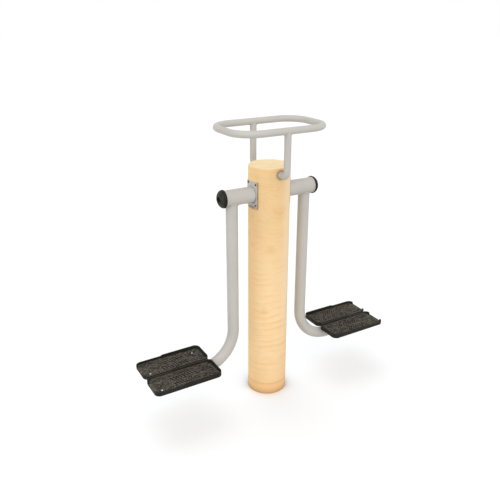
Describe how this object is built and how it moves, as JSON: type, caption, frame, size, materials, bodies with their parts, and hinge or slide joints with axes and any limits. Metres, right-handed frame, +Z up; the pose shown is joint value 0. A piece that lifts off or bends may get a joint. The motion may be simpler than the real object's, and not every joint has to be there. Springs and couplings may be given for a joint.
{
  "type": "outdoor ab trainer",
  "caption": "Standing swing trainer on a round timber post with a looped steel handle and pendulum arms that carry paired foot trays.",
  "frame": {"origin": "on the ground at the centre of the post's foot", "axes": "+X along the pivot shaft towards the right-hand pendulum, -Y towards the front of the picture, +Z up the post"},
  "size_m": [1.358, 0.331, 1.405],
  "materials": {
    "timber": "turned and oiled softwood",
    "coated_steel": "light warm grey satin powder coat",
    "bright_steel": "machined or zinc plated",
    "black_steel": "black oxide",
    "black_plastic": "semi-gloss moulded",
    "tray_plastic": "dark grey-brown moulded, slightly worn",
    "rubber": "plain"
  },
  "bodies": {
    "post_frame": {"post": "timber", "pivot_shaft": "bright_steel", "handle_loop": "coated_steel", "front_handle_bar": "coated_steel", "rear_handle_bar": "coated_steel", "handle_spigot": "bright_steel", "left_flange": "coated_steel", "left_flange_screws": "black_steel", "left_stop_key": "bright_steel", "left_spacer": "bright_steel", "left_shaft_washer": "bright_steel", "left_shaft_nut": "bright_steel", "left_inboard_inner_ring": "bright_steel", "left_outboard_inner_ring": "bright_steel", "right_flange": "coated_steel", "right_flange_screws": "black_steel", "right_stop_key": "bright_steel", "right_spacer": "bright_steel", "right_shaft_washer": "bright_steel", "right_shaft_nut": "bright_steel", "right_inboard_inner_ring": "bright_steel", "right_outboard_inner_ring": "bright_steel"},
    "left_pendulum": {"left_sleeve": "coated_steel", "left_inboard_outer_ring": "bright_steel", "left_outboard_outer_ring": "bright_steel", "left_inboard_balls": "bright_steel", "left_outboard_balls": "bright_steel", "left_seal": "rubber", "left_stop_ring": "bright_steel", "left_stop_pads": "rubber", "left_retaining_ring": "bright_steel", "left_end_cap": "black_plastic", "left_arm": "coated_steel", "left_arm_plug": "black_plastic", "left_toe_crossbar": "coated_steel", "left_heel_crossbar": "coated_steel", "left_front_tray": "tray_plastic", "left_rear_tray": "tray_plastic", "left_tray_screws": "black_steel", "left_tray_nuts": "bright_steel"},
    "right_pendulum": {"right_sleeve": "coated_steel", "right_inboard_outer_ring": "bright_steel", "right_outboard_outer_ring": "bright_steel", "right_inboard_balls": "bright_steel", "right_outboard_balls": "bright_steel", "right_seal": "rubber", "right_stop_ring": "bright_steel", "right_stop_pads": "rubber", "right_retaining_ring": "bright_steel", "right_end_cap": "black_plastic", "right_arm": "coated_steel", "right_arm_plug": "black_plastic", "right_toe_crossbar": "coated_steel", "right_heel_crossbar": "coated_steel", "right_front_tray": "tray_plastic", "right_rear_tray": "tray_plastic", "right_tray_screws": "black_steel", "right_tray_nuts": "bright_steel"}
  },
  "joints": [
    {"name": "left_swing", "type": "hinge", "parent": "post_frame", "child": "left_pendulum", "pos_m": [0, 0, 1.08], "axis": [1, 0, 0], "range_deg": [-40, 40]},
    {"name": "right_swing", "type": "hinge", "parent": "post_frame", "child": "right_pendulum", "pos_m": [0, 0, 1.08], "axis": [1, 0, 0], "range_deg": [-40, 40]}
  ]
}
